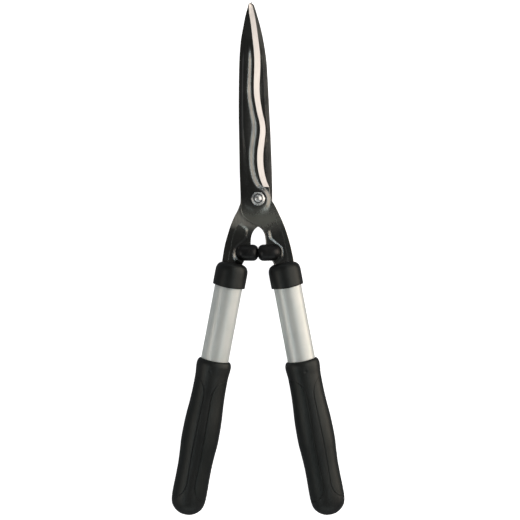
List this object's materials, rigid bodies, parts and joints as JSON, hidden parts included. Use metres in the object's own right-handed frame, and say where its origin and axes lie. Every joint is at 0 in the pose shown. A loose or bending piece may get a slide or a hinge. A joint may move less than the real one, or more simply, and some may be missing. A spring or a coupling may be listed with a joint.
{
  "type": "hedge shears",
  "caption": "Two-handed hedge shears with wavy stamped steel blades on a bolted pivot, rubber stops, oval aluminium handles and long moulded grips.",
  "frame": {"origin": "on the pivot's axis, at the flat end of the pivot bolt's head", "axes": "+Y towards the blade tips, +Z along the pivot's axis from the bolt's head to its nut, +X across the closed shears to the right with the nut up"},
  "size_m": [0.1872, 0.552, 0.0304],
  "materials": {
    "blade_steel": "dark satin coating with a bright ground cutting bevel",
    "zinc": "bright zinc plate",
    "bush_steel": "turned",
    "nylon": "plain moulded",
    "stop_rubber": "moulded, slight sheen",
    "ferrule_plastic": "satin moulded",
    "insert_plastic": "plain moulded",
    "pin_steel": "bright drawn",
    "tube_aluminium": "satin anodised",
    "grip_plastic": "satin moulded",
    "grip_rubber": "soft matt"
  },
  "bodies": {
    "rear_half": {"rear_lever": "blade_steel", "pivot_bolt": "zinc", "rear_washer": "zinc", "pivot_bush": "bush_steel", "spring_washer": "zinc", "pivot_nut": "zinc", "nylon_ring": "nylon", "left_bumper": "stop_rubber", "left_ferrule": "ferrule_plastic", "left_tang_insert": "insert_plastic", "left_tang_pin": "pin_steel", "left_tube": "tube_aluminium", "left_grip_core": "grip_plastic", "left_outer_pad": "grip_rubber", "left_inner_pad": "grip_rubber"},
    "front_half": {"front_lever": "blade_steel", "right_bumper": "stop_rubber", "right_ferrule": "ferrule_plastic", "right_tang_insert": "insert_plastic", "right_tang_pin": "pin_steel", "right_tube": "tube_aluminium", "right_grip_core": "grip_plastic", "right_outer_pad": "grip_rubber", "right_inner_pad": "grip_rubber"}
  },
  "joints": [
    {"name": "blade_pivot", "type": "hinge", "parent": "rear_half", "child": "front_half", "pos_m": [0, 0, 0.01225], "axis": [0, 0, 1], "range_deg": [0, 130]}
  ]
}
